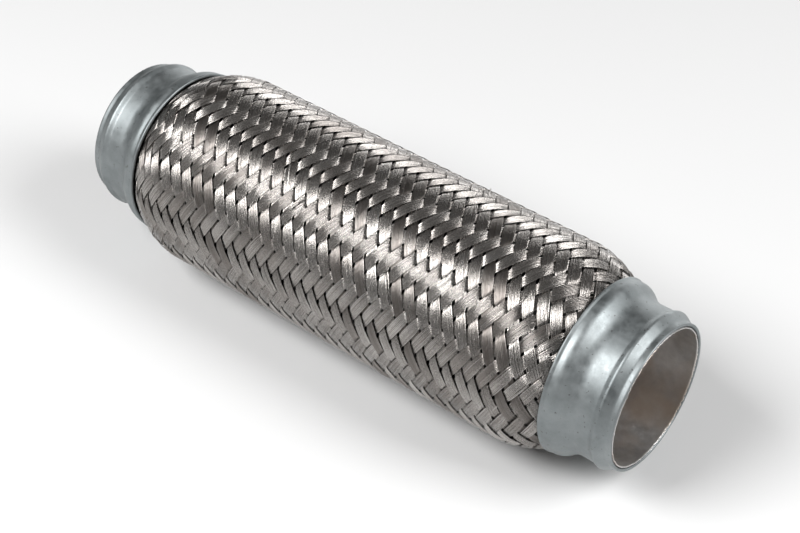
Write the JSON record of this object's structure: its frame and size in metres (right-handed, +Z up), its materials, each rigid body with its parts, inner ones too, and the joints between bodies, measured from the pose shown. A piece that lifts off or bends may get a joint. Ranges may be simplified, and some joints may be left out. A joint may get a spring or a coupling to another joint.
{
  "type": "braided exhaust flex coupling",
  "caption": "Short flexible pipe joint: a corrugated metal bellows inside a woven wire sleeve, with an interlocking liner and a pressed steel cap at each end.",
  "frame": {"origin": "centre of the inlet's mouth, where the inlet pipe slides in", "axes": "+X along the pipe axis from inlet to outlet, +Z up"},
  "size_m": [0.21, 0.0672, 0.0672],
  "materials": {
    "end_cap": "zinc coated, satin",
    "braid": "bright stainless wire",
    "bellows": "rolled stainless sheet",
    "liner": "rolled stainless strip"
  },
  "bodies": {
    "inlet_end": {"inlet_end_cap": "end_cap", "inlet_bellows_cuff": "bellows", "inlet_inner_sleeve": "liner", "outer_braid": "braid"},
    "link_01": {"bellows_link_01": "bellows", "liner_ring_01": "liner"},
    "link_02": {"bellows_link_02": "bellows", "liner_ring_02": "liner"},
    "link_03": {"bellows_link_03": "bellows", "liner_ring_03": "liner"},
    "link_04": {"bellows_link_04": "bellows", "liner_ring_04": "liner"},
    "link_05": {"bellows_link_05": "bellows", "liner_ring_05": "liner"},
    "link_06": {"bellows_link_06": "bellows", "liner_ring_06": "liner"},
    "link_07": {"bellows_link_07": "bellows", "liner_ring_07": "liner"},
    "link_08": {"bellows_link_08": "bellows", "liner_ring_08": "liner"},
    "link_09": {"bellows_link_09": "bellows", "liner_ring_09": "liner"},
    "link_10": {"bellows_link_10": "bellows", "liner_ring_10": "liner"},
    "link_11": {"bellows_link_11": "bellows", "liner_ring_11": "liner"},
    "link_12": {"bellows_link_12": "bellows", "liner_ring_12": "liner"},
    "outlet_end": {"outlet_end_cap": "end_cap", "outlet_bellows_cuff": "bellows", "outlet_inner_sleeve": "liner"}
  },
  "joints": [
    {"name": "lift", "type": "hinge", "parent": "inlet_end", "child": "link_01", "pos_m": [0.0312, 0, 0], "axis": [0, -1, 0], "range_deg": [-4.1, 4.1], "stiffness_Nm_per_rad": 80, "deforming": ["outer_braid"]},
    {"name": "sway", "type": "hinge", "parent": "link_01", "child": "link_02", "pos_m": [0.0435, 0, 0], "axis": [0, 0, 1], "range_deg": [-4.9, 4.9], "stiffness_Nm_per_rad": 80, "deforming": ["outer_braid"]},
    {"name": "stroke", "type": "slide", "parent": "link_02", "child": "link_03", "axis": [1, 0, 0], "range_m": [-0.0025, 0.002], "stiffness_N_per_m": 30000, "deforming": ["outer_braid"]},
    {"name": "bend_up", "type": "hinge", "parent": "link_03", "child": "link_04", "pos_m": [0.0681, 0, 0], "axis": [0, -1, 0], "range_deg": [-5, 5], "stiffness_Nm_per_rad": 80, "deforming": ["outer_braid"]},
    {"name": "bend_side", "type": "hinge", "parent": "link_04", "child": "link_05", "pos_m": [0.0804, 0, 0], "axis": [0, 0, 1], "range_deg": [-5, 5], "stiffness_Nm_per_rad": 80, "deforming": ["outer_braid"]},
    {"name": "stroke_2", "type": "slide", "parent": "link_05", "child": "link_06", "axis": [1, 0, 0], "range_m": [-0.0025, 0.002], "stiffness_N_per_m": 30000, "deforming": ["outer_braid"]},
    {"name": "bend_up_2", "type": "hinge", "parent": "link_06", "child": "link_07", "pos_m": [0.105, 0, 0], "axis": [0, -1, 0], "range_deg": [-5, 5], "stiffness_Nm_per_rad": 80, "deforming": ["outer_braid"]},
    {"name": "bend_side_2", "type": "hinge", "parent": "link_07", "child": "link_08", "pos_m": [0.1173, 0, 0], "axis": [0, 0, 1], "range_deg": [-5, 5], "stiffness_Nm_per_rad": 80, "deforming": ["outer_braid"]},
    {"name": "stroke_3", "type": "slide", "parent": "link_08", "child": "link_09", "axis": [1, 0, 0], "range_m": [-0.0025, 0.002], "stiffness_N_per_m": 30000, "deforming": ["outer_braid"]},
    {"name": "bend_up_3", "type": "hinge", "parent": "link_09", "child": "link_10", "pos_m": [0.1419, 0, 0], "axis": [0, -1, 0], "range_deg": [-5, 5], "stiffness_Nm_per_rad": 80, "deforming": ["outer_braid"]},
    {"name": "bend_side_3", "type": "hinge", "parent": "link_10", "child": "link_11", "pos_m": [0.1542, 0, 0], "axis": [0, 0, 1], "range_deg": [-5, 5], "stiffness_Nm_per_rad": 80, "deforming": ["outer_braid"]},
    {"name": "sway_back", "type": "hinge", "parent": "link_11", "child": "link_12", "pos_m": [0.1665, 0, 0], "axis": [0, 0, 1], "range_deg": [-4.9, 4.9], "stiffness_Nm_per_rad": 80, "deforming": ["outer_braid"]},
    {"name": "lift_back", "type": "hinge", "parent": "link_12", "child": "outlet_end", "pos_m": [0.1788, 0, 0], "axis": [0, -1, 0], "range_deg": [-4.1, 4.1], "stiffness_Nm_per_rad": 80, "deforming": ["outer_braid"]}
  ],
  "couplings": [
    {"joint": "stroke_2", "follows": "stroke", "ratio": 1},
    {"joint": "bend_up_2", "follows": "bend_up", "ratio": 1},
    {"joint": "bend_side_2", "follows": "bend_side", "ratio": 1},
    {"joint": "stroke_3", "follows": "stroke", "ratio": 1},
    {"joint": "bend_up_3", "follows": "bend_up", "ratio": 1},
    {"joint": "bend_side_3", "follows": "bend_side", "ratio": 1},
    {"joint": "sway_back", "follows": "sway", "ratio": -1},
    {"joint": "lift_back", "follows": "lift", "ratio": -1}
  ]
}
